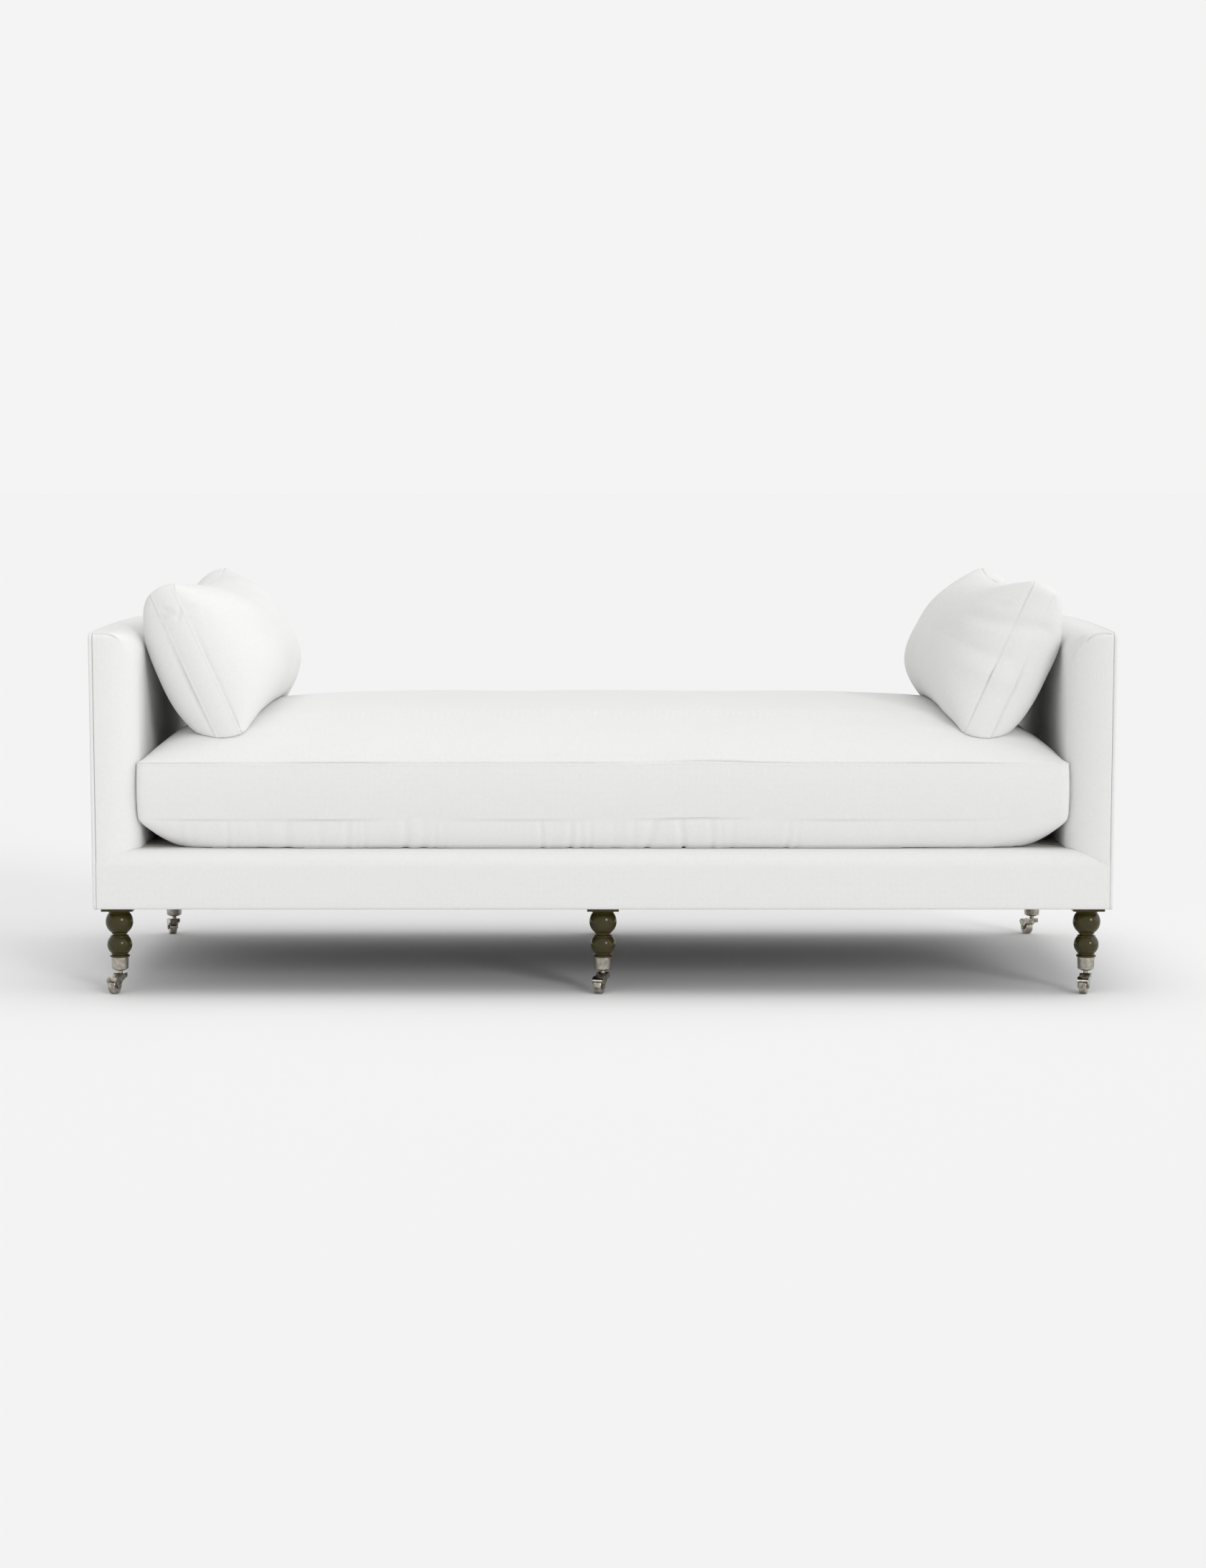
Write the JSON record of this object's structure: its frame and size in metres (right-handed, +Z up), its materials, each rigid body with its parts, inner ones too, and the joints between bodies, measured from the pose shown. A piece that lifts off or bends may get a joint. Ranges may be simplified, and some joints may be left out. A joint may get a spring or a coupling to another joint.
{
  "type": "backless divan",
  "caption": "Upholstered backless divan: even arms at both ends, low covered rails, one thick boxed bench cushion, leaning boxed pillows, turned legs on cup casters.",
  "frame": {"origin": "on the floor, under the middle of the divan", "axes": "+X along the length, +Y from the pictured front to the back, +Z up"},
  "size_m": [2.108, 0.866, 0.8441],
  "materials": {
    "linen": "matte white linen",
    "deck_cloth": "matte white lining cloth",
    "filling": "foam and feather filling",
    "webbing": "woven jute webbing",
    "dust_cover": "black non-woven cloth",
    "frame_timber": "planed hardwood",
    "arm_board": "plywood",
    "leg_lacquer": "dark olive-brown gloss lacquer on turned hardwood",
    "steel": "zinc-plated steel",
    "nickel": "satin antique nickel"
  },
  "bodies": {
    "frame": {"front_rail": "frame_timber", "back_rail": "frame_timber", "left_end_rail": "frame_timber", "right_end_rail": "frame_timber", "centre_cross_rail": "frame_timber", "side_cross_rails": "frame_timber", "centre_leg_blocks": "frame_timber", "left_front_post": "frame_timber", "left_back_post": "frame_timber", "right_front_post": "frame_timber", "right_back_post": "frame_timber", "left_arm_top_rail": "frame_timber", "right_arm_top_rail": "frame_timber", "left_arm_board": "arm_board", "right_arm_board": "arm_board", "seat_webbing": "webbing", "deck_pad": "filling", "deck_cloth": "deck_cloth", "dust_cover": "dust_cover", "front_rail_cover": "linen", "back_rail_cover": "linen", "left_arm_cover": "linen", "right_arm_cover": "linen", "left_outer_panel": "linen", "right_outer_panel": "linen", "left_arm_welt": "linen", "right_arm_welt": "linen", "rail_bolts": "steel", "leg_bolts": "steel", "cup_screws": "nickel", "front_left_leg": "leg_lacquer", "front_left_caster_cup": "nickel", "front_centre_leg": "leg_lacquer", "front_centre_caster_cup": "nickel", "front_right_leg": "leg_lacquer", "front_right_caster_cup": "nickel", "back_left_leg": "leg_lacquer", "back_left_caster_cup": "nickel", "back_centre_leg": "leg_lacquer", "back_centre_caster_cup": "nickel", "back_right_leg": "leg_lacquer", "back_right_caster_cup": "nickel"},
    "seat_cushion": {"seat_cushion": "linen", "seat_cushion_core": "filling"},
    "left_pillow": {"left_pillow": "linen", "left_pillow_pad": "filling"},
    "right_pillow": {"right_pillow": "linen", "right_pillow_pad": "filling"},
    "front_left_fork": {"front_left_caster_fork": "nickel"},
    "front_left_wheel": {"front_left_caster_wheel": "nickel"},
    "front_centre_fork": {"front_centre_caster_fork": "nickel"},
    "front_centre_wheel": {"front_centre_caster_wheel": "nickel"},
    "front_right_fork": {"front_right_caster_fork": "nickel"},
    "front_right_wheel": {"front_right_caster_wheel": "nickel"},
    "back_left_fork": {"back_left_caster_fork": "nickel"},
    "back_left_wheel": {"back_left_caster_wheel": "nickel"},
    "back_centre_fork": {"back_centre_caster_fork": "nickel"},
    "back_centre_wheel": {"back_centre_caster_wheel": "nickel"},
    "back_right_fork": {"back_right_caster_fork": "nickel"},
    "back_right_wheel": {"back_right_caster_wheel": "nickel"}
  },
  "joints": [
    {"name": "seat_cushion_lift", "type": "slide", "parent": "frame", "child": "seat_cushion", "axis": [0, 0, 1], "range_m": [0, 0.48]},
    {"name": "left_pillow_lift", "type": "slide", "parent": "seat_cushion", "child": "left_pillow", "axis": [0, 0, 1], "range_m": [0, 0.4]},
    {"name": "right_pillow_lift", "type": "slide", "parent": "seat_cushion", "child": "right_pillow", "axis": [0, 0, 1], "range_m": [0, 0.4]},
    {"name": "front_left_caster_swivel", "type": "hinge", "parent": "frame", "child": "front_left_fork", "pos_m": [-1.008, -0.381, 0.046], "axis": [0, 0, 1], "continuous": true},
    {"name": "front_left_caster_roll", "type": "hinge", "parent": "front_left_fork", "child": "front_left_wheel", "pos_m": [-1.01589, -0.40472, 0.016], "axis": [0.9489, -0.3156, 0], "continuous": true},
    {"name": "front_centre_caster_swivel", "type": "hinge", "parent": "frame", "child": "front_centre_fork", "pos_m": [0, -0.381, 0.046], "axis": [0, 0, 1], "continuous": true},
    {"name": "front_centre_caster_roll", "type": "hinge", "parent": "front_centre_fork", "child": "front_centre_wheel", "pos_m": [-0.00789, -0.40472, 0.016], "axis": [0.9489, -0.3156, 0], "continuous": true},
    {"name": "front_right_caster_swivel", "type": "hinge", "parent": "frame", "child": "front_right_fork", "pos_m": [1.008, -0.381, 0.046], "axis": [0, 0, 1], "continuous": true},
    {"name": "front_right_caster_roll", "type": "hinge", "parent": "front_right_fork", "child": "front_right_wheel", "pos_m": [1.00011, -0.40472, 0.016], "axis": [0.9489, -0.3156, 0], "continuous": true},
    {"name": "back_left_caster_swivel", "type": "hinge", "parent": "frame", "child": "back_left_fork", "pos_m": [-1.008, 0.381, 0.046], "axis": [0, 0, 1], "continuous": true},
    {"name": "back_left_caster_roll", "type": "hinge", "parent": "back_left_fork", "child": "back_left_wheel", "pos_m": [-1.01589, 0.40472, 0.016], "axis": [-0.9489, -0.3156, 0], "continuous": true},
    {"name": "back_centre_caster_swivel", "type": "hinge", "parent": "frame", "child": "back_centre_fork", "pos_m": [0, 0.381, 0.046], "axis": [0, 0, 1], "continuous": true},
    {"name": "back_centre_caster_roll", "type": "hinge", "parent": "back_centre_fork", "child": "back_centre_wheel", "pos_m": [-0.00789, 0.40472, 0.016], "axis": [-0.9489, -0.3156, 0], "continuous": true},
    {"name": "back_right_caster_swivel", "type": "hinge", "parent": "frame", "child": "back_right_fork", "pos_m": [1.008, 0.381, 0.046], "axis": [0, 0, 1], "continuous": true},
    {"name": "back_right_caster_roll", "type": "hinge", "parent": "back_right_fork", "child": "back_right_wheel", "pos_m": [1.00011, 0.40472, 0.016], "axis": [-0.9489, -0.3156, 0], "continuous": true}
  ]
}
